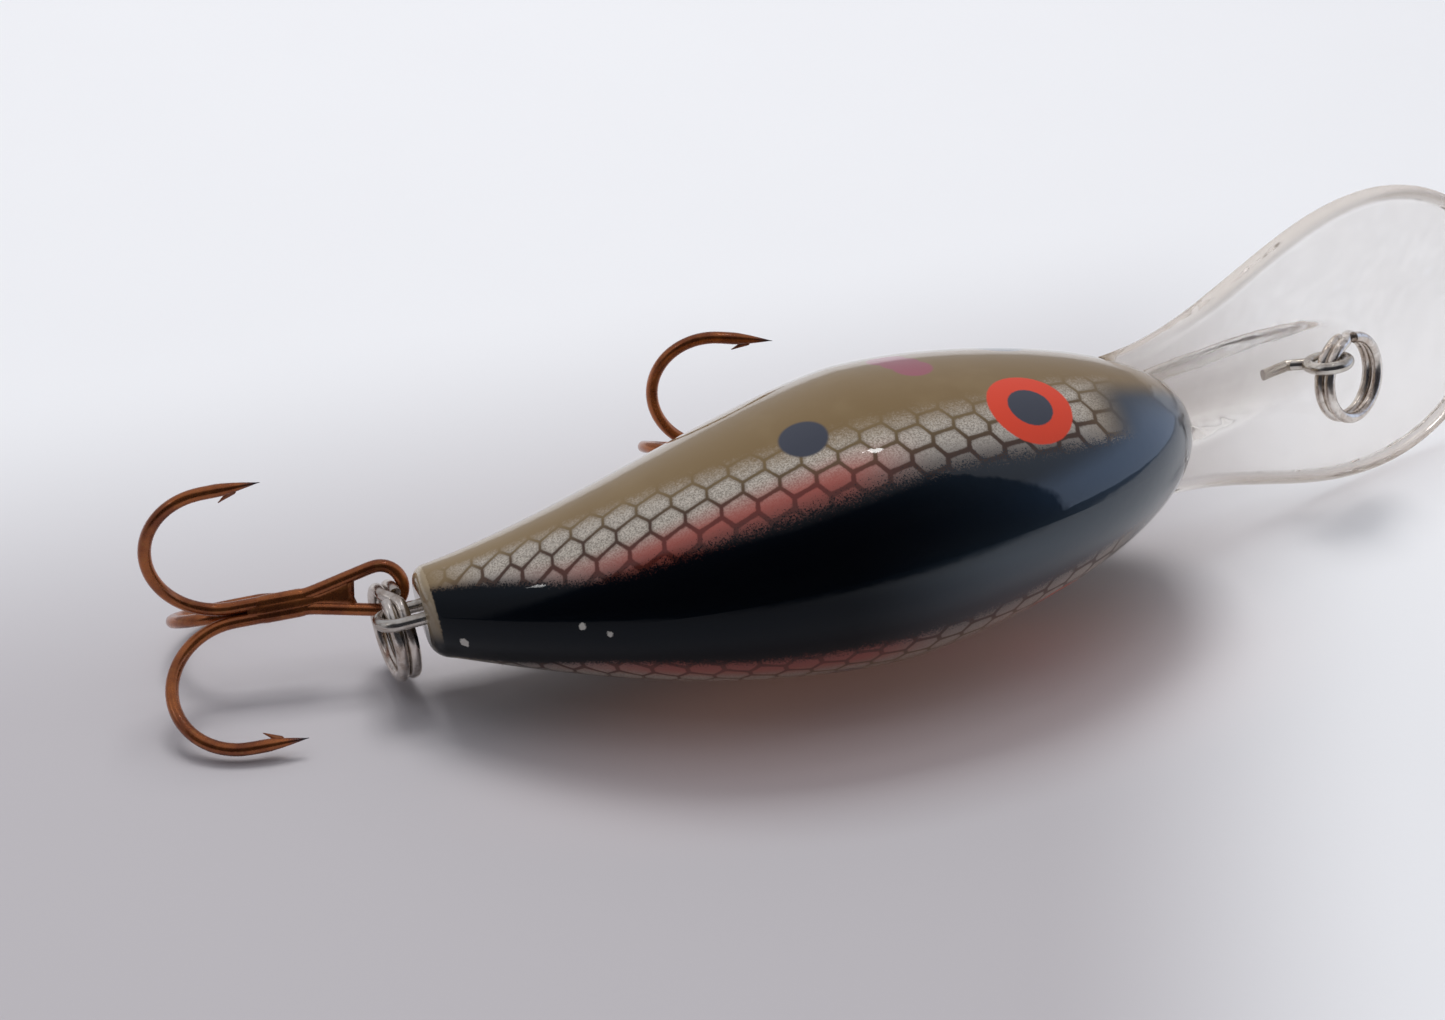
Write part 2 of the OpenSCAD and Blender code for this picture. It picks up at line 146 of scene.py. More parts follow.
def section(x, inset, t):
    """Points of the body form at station x, t running from the back (0) to the belly (pi)."""
    s = (HALF_LEN - x) / BODY_LEN
    past = np.maximum(0, TAIL_ROUND - HALF_LEN - x)
    edge = TAIL_ROUND - np.sqrt(np.maximum(0, TAIL_ROUND ** 2 - past ** 2))
    shrink = SECTION_SHRINK * inset + edge
    least = LEAST_HALF if inset else 0.0
    high = np.maximum(least, (back(s) + belly(s)) / 2 - shrink)
    wide = np.maximum(least, flank(s) - shrink)
    middle = (belly(s) - back(s)) / 2
    return np.stack(np.broadcast_arrays(x, middle - high * np.cos(t), wide * np.sin(t)), -1)


# ---------- meshes ----------

def add_piece(name, points, faces, material, body, node, crease, attributes):
    """A closed mesh given in body axes, riding on a CAD body in place of a CAD node."""
    mesh = bpy.data.meshes.new(name)
    mesh.from_pydata(to_row(points).tolist(), [], faces)
    place = mesh.attributes.new("place_mm", "FLOAT_VECTOR", "POINT")
    place.data.foreach_set("vector", np.asarray(points, np.float32).ravel())
    for key, values in attributes.items():
        layer = mesh.attributes.new(key, "FLOAT", "POINT")
        layer.data.foreach_set("value", np.asarray(values, np.float32).ravel())
    work = bmesh.new()
    work.from_mesh(mesh)
    bmesh.ops.remove_doubles(work, verts=work.verts, dist=2e-6)
    bmesh.ops.dissolve_degenerate(work, edges=work.edges, dist=1e-6)
    bmesh.ops.recalc_face_normals(work, faces=work.faces)
    work.to_mesh(mesh)
    work.free()
    mesh.polygons.foreach_set("use_smooth", [True] * len(mesh.polygons))
    mesh.set_sharp_from_angle(angle=math.radians(crease))
    piece = bpy.data.objects.new(name, mesh)
    bpy.context.scene.collection.objects.link(piece)
    mesh.materials.append(material)
    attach(piece, body)
    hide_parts(node)


def grid_faces(rows, columns, start=0, wrap=False):
    faces = []
    for i in range(rows - 1):
        for j in range(columns if wrap else columns - 1):
            k = (j + 1) % columns
            a = start + i * columns
            faces.append((a + j, a + k, a + columns + k, a + columns + j))
    return faces


def tube_faces(rows, columns):
    """Faces of a stack of rings, closed at both ends."""
    last = (rows - 1) * columns
    ends = [tuple(range(columns)), tuple(range(last, last + columns))[::-1]]
    return grid_faces(rows, columns, wrap=True) + ends


def path_normals(path):
    """A twist-free pair of normals along a path."""
    tangent = np.gradient(path, axis=0)
    tangent /= np.linalg.norm(tangent, axis=1, keepdims=True)
    side = np.cross(tangent[0], [0.31, 0.52, 0.79])
    side /= np.linalg.norm(side)
    sides = []
    for step in tangent:
        side = side - step * (side @ step)
        side /= np.linalg.norm(side)
        sides.append(side)
    sides = np.array(sides)
    return sides, np.cross(tangent, sides)


# Angles of the rings that round the end of a tube
CAP = np.radians([80, 60, 40, 20])


def tube(path, radius, sides, round_ends=True):
    """A closed tube along path. radius is a number or one per point."""
    path = np.asarray(path, float)
    radius = np.broadcast_to(np.asarray(radius, float), len(path)).copy()
    if round_ends:
        first, last = path[0] - path[1], path[-1] - path[-2]
        first, last = first / np.linalg.norm(first), last / np.linalg.norm(last)
        head = path[0] + np.outer(np.sin(CAP), first) * radius[0]
        tail = path[-1] + np.outer(np.sin(CAP[::-1]), last) * radius[-1]
        path = np.vstack([head, path, tail])
        radius = np.r_[radius[0] * np.cos(CAP), radius, radius[-1] * np.cos(CAP[::-1])]
    a, b = path_normals(path)
    angle = np.linspace(0, 2 * math.pi, sides, endpoint=False)
    ring = np.cos(angle)[None, :, None] * a[:, None] + np.sin(angle)[None, :, None] * b[:, None]
    points = (path[:, None] + radius[:, None, None] * ring).reshape(-1, 3)
    return points, tube_faces(len(path), sides)


def join(*parts):
    points, faces = [], []
    for p, f in parts:
        start = sum(len(q) for q in points)
        points.append(np.asarray(p))
        faces += [tuple(start + i for i in face) for face in f]
    return np.vstack(points), faces


# ---------- shader nodes ----------

class Net:
    """Short calls for building the nodes of a material or a world."""

    def __init__(self, owner, output="ShaderNodeOutputMaterial"):
        self.owner = owner
        owner.use_nodes = True
        self.tree = owner.node_tree
        self.tree.nodes.clear()
        self.output = self.node(output)

    def node(self, kind, **inputs):
        made = self.tree.nodes.new(kind)
        for key, value in inputs.items():
            self.feed(made, key.replace("_", " "), value)
        return made

    def feed(self, node, key, value):
        socket = node.inputs[key]
        if isinstance(value, bpy.types.NodeSocket):
            self.tree.links.new(value, socket)
        else:
            socket.default_value = value

    def math(self, operation, *values):
        made = self.tree.nodes.new("ShaderNodeMath")
        made.operation = operation
        for index, value in enumerate(values):
            self.feed(made, index, value)
        return made.outputs[0]

    def plus(self, a, b):
        return self.math("ADD", a, b)

    def minus(self, a, b):
        return self.math("SUBTRACT", a, b)

    def times(self, a, b):
        return self.math("MULTIPLY", a, b)

    def linear(self, value, slope, start):
        """start + slope * value."""
        return self.math("MULTIPLY_ADD", value, slope, start)

    def most(self, first, *others):
        for other in others:
            first = self.math("MAXIMUM", first, other)
        return first

    def vector(self, operation, *values):
        """A vector operation whose result is a number."""
        made = self.tree.nodes.new("ShaderNodeVectorMath")
        made.operation = operation
        for index, value in enumerate(values):
            self.feed(made, index, value)
        return made.outputs["Value"]

    def split(self, vector):
        parts = self.node("ShaderNodeSeparateXYZ", Vector=vector)
        return [parts.outputs[key] for key in "XYZ"]

    def ease(self, value, low, high):
        """0 below low, 1 above high, smooth between; low may be above high."""
        made = self.tree.nodes.new("ShaderNodeMapRange")
        made.interpolation_type = "SMOOTHSTEP"
        falls = low > high
        self.feed(made, "Value", value)
        self.feed(made, "From Min", high if falls else low)
        self.feed(made, "From Max", low if falls else high)
        self.feed(made, "To Min", 1.0 if falls else 0.0)
        self.feed(made, "To Max", 0.0 if falls else 1.0)
        return made.outputs["Result"]

    def mix(self, factor, a, b):
        made = self.tree.nodes.new("ShaderNodeMix")
        made.data_type = "RGBA"
        made.clamp_factor = True
        self.feed(made, 0, factor)
        for index, value in ((6, a), (7, b)):
            self.feed(made, index, (*value, 1) if isinstance(value, tuple) else value)
        return made.outputs[2]

    def mix_shaders(self, factor, a, b):
        made = self.tree.nodes.new("ShaderNodeMixShader")
        for index, value in enumerate((factor, a, b)):
            self.feed(made, index, value)
        return made.outputs[0]

    def attribute(self, name, output="Fac"):
        made = self.tree.nodes.new("ShaderNodeAttribute")
        made.attribute_name = name
        return made.outputs[output]

    def coordinates(self, kind="Object"):
        return self.node("ShaderNodeTexCoord").outputs[kind]

    def noise(self, vector, scale, detail=2.0, rough=0.5):
        made = self.node("ShaderNodeTexNoise", Vector=vector, Scale=scale, Detail=detail, Roughness=rough)
        return made.outputs["Fac"]

    def bump(self, height, strength, distance):
        made = self.node("ShaderNodeBump", Height=height, Strength=strength, Distance=distance)
        return made.outputs["Normal"]

    def ray(self, *kinds):
        """1 for a ray of one of these kinds, such as "Camera" or "Glossy"."""
        path = self.tree.nodes.new("ShaderNodeLightPath")
        return self.most(*(path.outputs[f"Is {kind} Ray"] for kind in kinds))

    def surface(self, **inputs):
        shader = self.tree.nodes.new("ShaderNodeBsdfPrincipled")
        for key, value in inputs.items():
            if isinstance(value, tuple) and len(value) == 3:
                value = (*value, 1)
            self.feed(shader, key.replace("_", " "), value)
        return shader.outputs["BSDF"]

    def done(self, shader):
        self.tree.links.new(shader, self.output.inputs["Surface"])
        return self.owner


# ---------- paint ----------
# Places along the body are in millimetres of x, and angles round it are in degrees of girth,
# from 0 on the back to 180 on the belly.

SCALE_W, SCALE_ROW, SCALE_START = 2.076, 1.5, 24.94
SCALE_SHIFT, SCALE_SKEW, SCALE_TALL, SCALE_LEAN = 0.58, 0.37, 0.68, 0.19

OLIVE, OLIVE_LIGHT, CREAM = (0.180, 0.114, 0.040), (0.25, 0.175, 0.080), (0.46, 0.37, 0.24)
SILVER, SILVER_SPECK = (0.60, 0.545, 0.47), (0.17, 0.145, 0.115)
SILVER_EDGE, SILVER_LOW = (0.22, 0.18, 0.14), (0.30, 0.275, 0.25)
PINK, PINK_LINE = (0.40, 0.062, 0.042), (0.13, 0.012, 0.006)
OUTLINE, OLIVE_LINE = (0.045, 0.018, 0.007), (0.13, 0.088, 0.036)
BLACK, STRIPE_HALO, CHIP = (0.0006, 0.0008, 0.0016), (0.030, 0.012, 0.007), (0.62, 0.60, 0.55)
SLATE, MAUVE, EYE_RED = (0.030, 0.036, 0.056), (0.27, 0.075, 0.100), (0.66, 0.040, 0.006)

EYE_RING, EYE_PUPIL, EYE_SOFT = 2.75, 1.45, 0.06
EYES = ((11.9, -8.8, 6.1), (11.9, -6.9, -7.0))
SPOT_SOFT = 0.12
SHOULDER_SPOT = ((-2.3, -8.4, 7.6), 1.5)
CHIN_SPOT = ((13.4, -0.5, 7.3), 1.5)
# The mauve mark is a short row of overlapping spots
MAUVE_SPOTS = (((5.5, -1.9, 9.0), 1.25), ((6.0, -3.1, 9.0), 1.25), ((6.4, -4.2, 8.9), 1.25))
CHIPS = (((-17.5, -9.4, 0.1), 0.24), ((-16.1, -10.1, -0.5), 0.20), ((-23.8, -4.5, -0.9), 0.32))


class Skin:
    """What the paint's parts share: where a point is on the body, and two noises. far is 1 on the
    right flank, and ragged is the girth with a rough edge to it."""

    def __init__(self, net):
        self.net = net
        self.place = net.attribute("place_mm", "Vector")
        self.x, self.y, self.z = net.split(self.place)
        self.girth = net.attribute("girth_deg")
        self.far = net.ease(self.z, 0.0, -2.0)
        self.fine = net.noise(self.place, 5.5, 3.0, 0.7)
        self.grain = net.noise(self.place, 9.0, 2.0, 0.8)
        self.ragged = net.plus(self.girth, net.times(net.minus(self.fine, 0.5), 13.0))


def stripe_edge(skin):
    """Girth at which the black back ends: it widens over the tail and narrows on the head."""
    net, x = skin.net, skin.x
    edge = net.linear(net.ease(x, -15.5, -25.0), 20.0, 29.5)
    edge = net.minus(edge, net.times(net.ease(x, 6.0, 15.0), 4.0))
    edge = net.linear(net.ease(x, -7.0, -15.0), -3.0, edge)
    return net.linear(skin.far, 1.5, edge)


def band_edge(skin):
    """Girth at which the silver scales end."""
    net, x = skin.net, skin.x
    return net.plus(net.linear(net.ease(x, 4.0, -21.0), 19.0, 52.0), net.times(net.ease(x, 9.0, 15.0), 6.0))


def ground_paint(skin):
    """Olive flanks, paler towards the belly and the tail end."""
    net, girth = skin.net, skin.girth
    broad = net.noise(skin.place, 0.35, 2.0, 0.5)
    ground = net.mix(net.ease(girth, 62, 135), OLIVE, OLIVE_LIGHT)
    ground = net.mix(net.ease(girth, 125, 178), ground, CREAM)
    ground = net.mix(net.times(net.ease(skin.x, -14, -26), 0.12), ground, CREAM)
    return net.mix(net.times(net.ease(broad, 0.45, 0.75), 0.25), ground, OLIVE_LIGHT)


def scale_cells(net):
    """How far a point is from the outline between two scales: 0 on it, about 1 in a scale's middle.
    Each row of scales starts a little further forward than the row nearer the back."""
    along, across = net.attribute("scale_along"), net.attribute("scale_across")
    row = net.math("FLOOR", across)
    nearest, second = [], []
    for step in (0.0, 1.0):
        this_row = net.plus(row, step)
        offset = net.linear(this_row, SCALE_SKEW, SCALE_SHIFT)
        share = net.math("FRACT", net.plus(net.minus(along, offset), 0.5))
        du = net.math("ABSOLUTE", net.minus(share, 0.5))
        dv = net.times(net.minus(across, this_row), SCALE_TALL)
        dv2 = net.times(dv, dv)
        other = net.minus(1.0, du)
        nearest.append(net.math("SQRT", net.linear(du, du, dv2)))
        second.append(net.math("SQRT", net.linear(other, other, dv2)))
    first = net.math("MINIMUM", *nearest)
    runner = net.math("MINIMUM", net.most(*nearest), net.math("MINIMUM", *second))
    return net.minus(runner, first)


def scale_paint(skin, above, beyond):
    """Silver scales with dark outlines, pink beside the back. above and beyond are the girth past
    the stripe's edge and past the band's edge. Also gives 1 inside a scale and 0 on its outline."""
    net, x = skin.net, skin.x
    cell = scale_cells(net)
    line = net.linear(net.ease(above, 24.0, 4.0), 0.06, 0.04)
    line = net.linear(net.minus(skin.fine, 0.5), 0.10, line)
    inside = net.ease(net.minus(cell, line), 0.0, 0.10)
    silver = net.mix(net.times(net.ease(skin.grain, 0.40, 0.62), 0.75), SILVER, SILVER_SPECK)
    silver = net.mix(net.times(net.ease(cell, 0.34, 0.05), 0.6), silver, SILVER_EDGE)
    silver = net.mix(net.ease(above, 20.0, 0.0), silver, SILVER_LOW)
    pink = net.times(net.ease(x, -22.0, -12.0), net.ease(x, 5.0, -2.0))
    pink = net.times(pink, net.ease(above, 23.0, 9.0))
    silver = net.mix(net.times(pink, 0.88), silver, PINK)
    lines = net.mix(net.ease(beyond, -16.0, 0.0), net.mix(pink, OUTLINE, PINK_LINE), OLIVE_LINE)
    return net.mix(inside, lines, silver), inside


def black_back(skin, colour, stripe):
    """Paints the black back, with a dusted edge, over a colour. Also gives 1 where it is black."""
    net, x, z = skin.net, skin.x, skin.z
    above = net.minus(skin.girth, stripe)
    dust = net.linear(net.minus(skin.grain, 0.5), 34.0, above)
    black = net.most(net.ease(net.minus(skin.ragged, stripe), 4.5, -2.0), net.ease(dust, 3.5, 0.5))
    # a dark halo of overspray beside the stripe; it is weaker on the right flank, which is painted light that
    # lifts the shade lying on that flank
    halo = net.times(net.ease(above, 13.0, 0.0), net.linear(skin.far, -0.45, 0.75))
    colour = net.mix(net.times(halo, net.ease(x, 17.0, 13.0)), colour, STRIPE_HALO)
    black = net.most(black, net.times(net.ease(x, 15.5, 19.0), net.ease(skin.girth, 66, 46)))
    # a cream edge round the upper side of the tail's end, and black over the end's lower side
    rim = net.ease(net.plus(x, net.times(skin.fine, 0.25)), -24.72, -24.82)
    rim = net.times(rim, net.ease(z, -1.3, 0.2))
    black = net.times(black, net.minus(1.0, rim))
    end_face = net.times(net.ease(x, -24.2, -24.7), net.ease(z, 0.6, -1.2))
    black = net.most(black, net.times(end_face, net.ease(skin.y, 1.0, -0.5)))
    colour = net.mix(black, colour, BLACK)
    return net.mix(net.times(rim, 0.5), colour, CREAM), black


def spot(skin, centre, radius):
    """1 inside a round painted spot on the left flank and its mirror image on the right."""
    net = skin.net
    side = net.math("ABSOLUTE", skin.z)
    both = net.node("ShaderNodeCombineXYZ", X=skin.x, Y=skin.y, Z=side).outputs[0]
    return net.ease(net.vector("DISTANCE", both, centre), radius + SPOT_SOFT, radius - SPOT_SOFT)


def spots_and_eyes(skin, colour):
    """Paints the spots and the eyes over a colour. Also gives 1 where the larger ones are."""
    net = skin.net
    shoulder, chin = spot(skin, *SHOULDER_SPOT), spot(skin, *CHIN_SPOT)
    mauve = net.most(*(spot(skin, *each) for each in MAUVE_SPOTS))
    colour = net.mix(shoulder, colour, SLATE)
    colour = net.mix(mauve, colour, MAUVE)
    colour = net.mix(chin, colour, SLATE)
    away = net.math("MINIMUM", *(net.vector("DISTANCE", skin.place, eye) for eye in EYES))
    away = net.plus(away, net.times(net.minus(skin.fine, 0.5), 0.10))
    ring = net.ease(away, EYE_RING + EYE_SOFT, EYE_RING - EYE_SOFT)
    pupil = net.ease(away, EYE_PUPIL + EYE_SOFT, EYE_PUPIL - EYE_SOFT)
    colour = net.mix(pupil, net.mix(ring, colour, EYE_RED), SLATE)
    return colour, net.most(ring, shoulder, mauve)


def paint_chips(skin, colour):
    """Small pale chips in the paint near the tail."""
    net = skin.net
    for at, size in CHIPS:
        gap = net.plus(net.vector("DISTANCE", skin.place, at), net.times(skin.fine, 0.35))
        colour = net.mix(net.ease(gap, size + 0.20, size + 0.10), colour, CHIP)
    return colour


def paint_material():
    """The whole paint of the body under a clear coat, which is thinner on the rear of the back."""
    net = Net(bpy.data.materials.new("painted_body"))
    skin = Skin(net)
    stripe, band = stripe_edge(skin), band_edge(skin)
    scales, inside = scale_paint(skin, net.minus(skin.girth, stripe), net.minus(skin.girth, band))
    fade = net.ease(net.minus(skin.ragged, band), -7.0, 9.0)
    fade = net.most(fade, net.ease(skin.x, 14.0, 19.5), net.ease(skin.x, -21.0, -25.3))
    colour = net.mix(fade, scales, ground_paint(skin))
    colour, black = black_back(skin, colour, stripe)
    colour, painted = spots_and_eyes(skin, colour)
    colour = paint_chips(skin, colour)
    bare = net.times(net.times(inside, net.minus(1.0, fade)), net.minus(1.0, net.most(painted, black)))
    dull = net.times(black, net.ease(skin.x, 9.0, -3.0))
    normal = net.bump(net.noise(skin.place, 1.3, 1.0), 0.02, 0.0003)
    return net.done(net.surface(
        Base_Color=colour, Metallic=net.times(bare, 0.35), Roughness=0.34,
        Specular_Tint=net.mix(black, (1.0, 1.0, 1.0), (0.35, 0.65, 1.0)),
        Specular_IOR_Level=net.linear(net.minus(black, dull), 0.40, 0.10),
        Coat_Weight=net.linear(dull, -0.72, 1.0), Coat_Roughness=0.03, Coat_IOR=1.5,
        Normal=normal, Coat_Normal=normal))


# ---------- plastic, metals and table ----------

def clear_material():
    """Clear plastic with a warm tint that gathers in the rim, and a little milky haze. To shadows and
    diffuse light it is plainly transparent, so that the table under it stays bright."""
    net = Net(bpy.data.materials.new("clear_lip"))
    place = net.attribute("place_mm", "Vector")
    rim = net.attribute("rim")
    wave = net.noise(place, 0.22, 2.0, 0.6)
    ripple = net.bump(wave, 0.25, 0.0010)
    tint = net.mix(net.noise(place, 0.35), (0.965, 0.935, 0.905), (0.995, 0.980, 0.962))
    tint = net.mix(net.times(rim, 0.7), tint, (0.84, 0.77, 0.70))
    glass = net.surface(Base_Color=tint, Roughness=0.02, IOR=1.30, Transmission_Weight=1.0, Normal=ripple)
    milk = net.mix(rim, (0.92, 0.885, 0.855), (0.66, 0.56, 0.46))
    haze = net.surface(Base_Color=milk, Roughness=0.25, Normal=ripple)
    milky = net.mix_shaders(net.linear(rim, 0.30, net.linear(wave, 0.08, 0.02)), glass, haze)
    clear = net.node("ShaderNodeBsdfTransparent", Color=(0.86, 0.84, 0.83, 1)).outputs[0]
    return net.done(net.mix_shaders(net.ray("Shadow", "Diffuse"), milky, clear))


def metal_material(name, colour, dull, rough, brown=0.0):
    """Worn metal that varies from colour to dull, with a share of brown streaks that are a painted brown
    reflection.
    """
    net = Net(bpy.data.materials.new(name))
    at = net.coordinates()
    wear = net.noise(at, 900.0, 3.0, 0.6)
    tone = net.mix(net.ease(wear, 0.35, 0.7), colour, dull)
    if brown:
        # brown streaks in the colour: a painted brown reflection
        painted_reflection_streak = net.noise(at, 2600.0, 2.0, 0.7)
        tone = net.mix(net.times(net.ease(painted_reflection_streak, 0.5, 0.75), brown), tone, (0.16, 0.10, 0.065))
    return net.done(net.surface(Base_Color=tone, Metallic=1.0, Roughness=net.linear(wear, 0.18, rough),
                                Normal=net.bump(wear, 0.05, 0.0001)))


def bronze_material():
    """Lacquered bronze with dark patches and bright flecks, bare and dark at the hooks' tips."""
    net = Net(bpy.data.materials.new("bronze_hook"))
    at = net.coordinates()
    patch = net.noise(at, 420.0, 3.0, 0.6)
    fleck = net.noise(at, 1900.0, 3.0, 0.7)
    tone = net.mix(net.ease(patch, 0.35, 0.68), (0.40, 0.120, 0.030), (0.21, 0.052, 0.014))
    tone = net.mix(net.times(net.ease(fleck, 0.52, 0.75), 0.5), tone, (0.42, 0.17, 0.045))
    tone = net.mix(net.attribute("tip"), tone, (0.035, 0.032, 0.045))
    return net.done(net.surface(
        Base_Color=tone, Metallic=0.85, Roughness=net.linear(fleck, 0.16, 0.20),
        Coat_Weight=0.5, Coat_Roughness=0.12, Normal=net.bump(fleck, 0.10, 0.0001)))


def floor_material():
    """Pale table with painted shade in front and to the left, standing for the viewer's soft shadow, a
    painted brighter patch to the right, and a painted warm glow, an emission, where the lure's shadow
    falls, standing for warm light that the lure throws into it. Behind the viewer it has painted shade
    that shows in reflections only."""
    net = Net(bpy.data.materials.new("table"))
    at = net.coordinates()
    x, y, _ = net.split(at)
    # painted shade in front and to the left, standing for the viewer's shadow on the table
    shade = net.times(net.ease(y, 0.046, 0.002), net.ease(net.linear(y, -0.5, x), 0.006, -0.020))
    tone = net.mix(net.noise(at, 55.0, 4.0, 0.55), (0.85, 0.865, 0.89), (0.865, 0.88, 0.905))
    tone = net.mix(net.times(shade, 0.92), tone, (0.490, 0.470, 0.492))
    # a painted brighter patch on the table to the right, standing for more light falling there
    painted_light_patch = net.times(net.ease(x, -0.010, 0.020), net.ease(y, 0.030, -0.010))
    tone = net.mix(painted_light_patch, tone, (0.935, 0.950, 0.975))
    # painted shade behind the viewer, dark only in reflections, standing for the dark side of the room there
    behind = net.times(net.ease(y, -0.052, -0.085), net.ray("Glossy"))
    tone = net.mix(behind, tone, (0.02, 0.02, 0.024))
    # painted warm glow, an emission in the lure's shadow, standing for warm light that the lure throws into
    # it
    oval = net.node("ShaderNodeCombineXYZ", X=net.linear(x, 30.0, 1.05), Y=net.linear(y, 78.0, 1.00))
    painted_warm_glow = net.ease(net.vector("LENGTH", oval.outputs[0]), 1.0, 0.35)
    return net.done(net.surface(
        Base_Color=tone, Roughness=0.6, Specular_IOR_Level=0.2,
        Emission_Color=(0.066, 0.036, 0.029), Emission_Strength=painted_warm_glow,
        Normal=net.bump(net.noise(at, 1800.0, 3.0), 0.03, 0.0002)))


# ---------- body ----------

def half_surface(inset, stations, columns, sign):
    """Skin of one half as a grid of stations by columns, with the girth of each point."""
    front = HALF_LEN - NOSE_SHRINK * inset
    end = -HALF_LEN + inset
    u = np.linspace(0, 1, stations)
    x = front + (end - front) * (1 - np.cos(math.pi * u)) / 2
    t = np.linspace(0, math.pi, columns)
    points = section(x[:, None], inset, t[None, :])
    points[..., 2] *= sign
    girth = np.degrees(np.broadcast_to(t, (stations, columns)))
    return points, girth


def scale_rows(grid):
    """Scale lattice coordinates of a skin grid: along the body and across its girth, in scales.
    The first row lies 7.55 mm from the back, and bends towards it over the nose and the tail."""
    step = np.linalg.norm(np.diff(grid, axis=1), axis=2)
    girth = np.concatenate([np.zeros((len(grid), 1)), np.cumsum(step, axis=1)], axis=1)
    s = (HALF_LEN - grid[:, :1, 0]) / BODY_LEN
    first = 7.55 - np.where(s < 0.70, 38, 72) * (s - 0.70) ** 2
    across = (girth - first) / SCALE_ROW
    line = grid[:, grid.shape[1] // 4]
    length = np.r_[0, np.cumsum(np.linalg.norm(np.diff(line, axis=0), axis=1))][:, None]
    along = (length - SCALE_START) / SCALE_W + SCALE_LEAN * across
    return along, across


def body_half(name, sign, material, node):
    """One moulded half: an outer and an inner skin, joined by the flat rim between the halves."""
    stations, columns = 260, 97
    # girth that the middle of an end cap takes, which is past the black back
    cap_girth = 60.0
    skin_size = stations * columns
    skins, girths, alongs, acrosses, faces = [], [], [], [], []
    for start, inset in ((0, 0.0), (skin_size + 2, WALL)):
        grid, girth = half_surface(inset, stations, columns, sign)
        along, across = scale_rows(grid)
        skins += [grid.reshape(-1, 3), [grid[0].mean(0) * [1, 1, 0]], [grid[-1].mean(0) * [1, 1, 0]]]
        girths += [girth.ravel(), [cap_girth, cap_girth]]
        alongs += [along.ravel(), [0.0, 0.0]]
        acrosses += [across.ravel(), [0.0, 0.0]]
        faces += grid_faces(stations, columns, start)
        last, front = start + skin_size - columns, start + skin_size
        for j in range(columns - 1):
            faces.append((start + j, start + j + 1, front))
            faces.append((last + j, last + j + 1, front + 1))
    inner = skin_size + 2
    for j in (0, columns - 1):
        rim = [i * columns + j for i in range(stations)]
        for a, b in zip(rim, rim[1:]):
            faces.append((a, b, inner + b, inner + a))
        for row, middle in ((rim[0], skin_size), (rim[-1], skin_size + 1)):
            faces.append((row, middle, inner + middle, inner + row))
    add_piece(name, np.vstack(skins), faces, material, "lure_body", node, 30,
              {"girth_deg": np.concatenate(girths), "scale_along": np.concatenate(alongs),
               "scale_across": np.concatenate(acrosses)})


# ---------- lip ----------

# Tint: full on the rim as far as TINT_END from the edge, and partly on the keel and the root
TINT_END, TINT_FADE, KEEL_TINT = 0.95, 0.35, 0.22
ROOT_TINT, ROOT_END, ROOT_FADE = 0.45, 5.0, 11.0


def lip_half(l):
    u = max(0.0, (l + LIP_START) / (LIP_PEAK + LIP_START))
    return NECK_HALF + (LIP_W / 2 - NECK_HALF) * (1 - math.cos(math.pi * u)) / 2


def lip_outline():
    """One side's outline as (l, w), each point with the point of the spine that it narrows towards."""
    spots = []
    for l in np.linspace(-LIP_TUCK, LIP_PEAK, 63):
        spots.append(((l, lip_half(l)), (l, 0.0)))
    for a in np.linspace(0, math.pi / 2, 46)[1:]:
        end = (LIP_PEAK + (LIP_LEN - LIP_PEAK) * math.sin(a), LIP_W / 2 * math.cos(a))
        spots.append((end, (LIP_PEAK + SPINE_LEN * math.sin(a), 0.0)))
    return spots


def rim_share(l):
    return clamp((l + LIP_START) / RIM_RUN)


def lip_thick(edge, l):
    """Half thickness at a distance from the edge: a rounded edge, a raised rim, then the flat web."""
    rim = LIP_T / 2 + RIM_RISE * rim_share(l)
    rounded = math.sqrt(max(0.0, 1 - (1 - min(edge / EDGE_ROUND, 1.0)) ** 2))
    blend = clamp((edge - RIM_FLAT) / RIM_SLOPE)
    blend = blend * blend * (3 - 2 * blend)
    return rounded * (rim - (rim - LIP_T / 2 + WEB_DIP) * blend)


def keel(l, w):
    """Raised tongue on the belly face of the lip: it runs down from the chin to the middle."""
    run = clamp((l + LIP_START) / (KEEL_END + LIP_START))
    half = KEEL_HALF * math.sqrt(max(0.0, 1 - run ** 4)) + 1e-6
    side = max(0.0, 1 - (w / half) ** 2)
    return KEEL_H * (1 - run ** 1.6) * side * side * (3 - 2 * side)


def lip_tint(edge, l, w):
    band = rim_share(l) * clamp((TINT_END - edge) / TINT_FADE)
    return max(band, KEEL_TINT * keel(l, w), ROOT_TINT * clamp((ROOT_END - l) / ROOT_FADE))


def lip_plate(material):
    """Both faces of both sides of the plate, closed along the root."""
    across = np.r_[np.linspace(0, 0.8, 42)[:-1], 0.8 + 0.2 * np.sin(np.linspace(0, math.pi / 2, 22))]
    outline = lip_outline()
    count = len(across)
    points, faces, tints = [], [], []
    for side in (1, -1):
        for face in (1, -1):
            faces += grid_faces(len(outline), count, len(points))
            for (l1, w1), (l0, w0) in outline:
                reach = math.hypot(l1 - l0, w1 - w0)
                for q in across:
                    l, w = l0 + (l1 - l0) * q, w0 + (w1 - w0) * q
                    edge = (1 - q) * reach
                    lift = lip_thick(edge, l) + (keel(l, w) if face > 0 else 0.0)
                    points.append(LIP_ROOT + l * LIP_DIR + face * lift * LIP_NORMAL + [0, 0, side * w])
                    tints.append(lip_tint(edge, l, w))
        low = len(points) - len(outline) * count
        high = low - len(outline) * count
        for j in range(count - 1):
            faces.append((high + j, high + j + 1, low + j + 1, low + j))
    add_piece("diving_lip_plate", points, faces, material, "lure_body", "diving_lip", 45,
              {"rim": tints})


# ---------- wires ----------

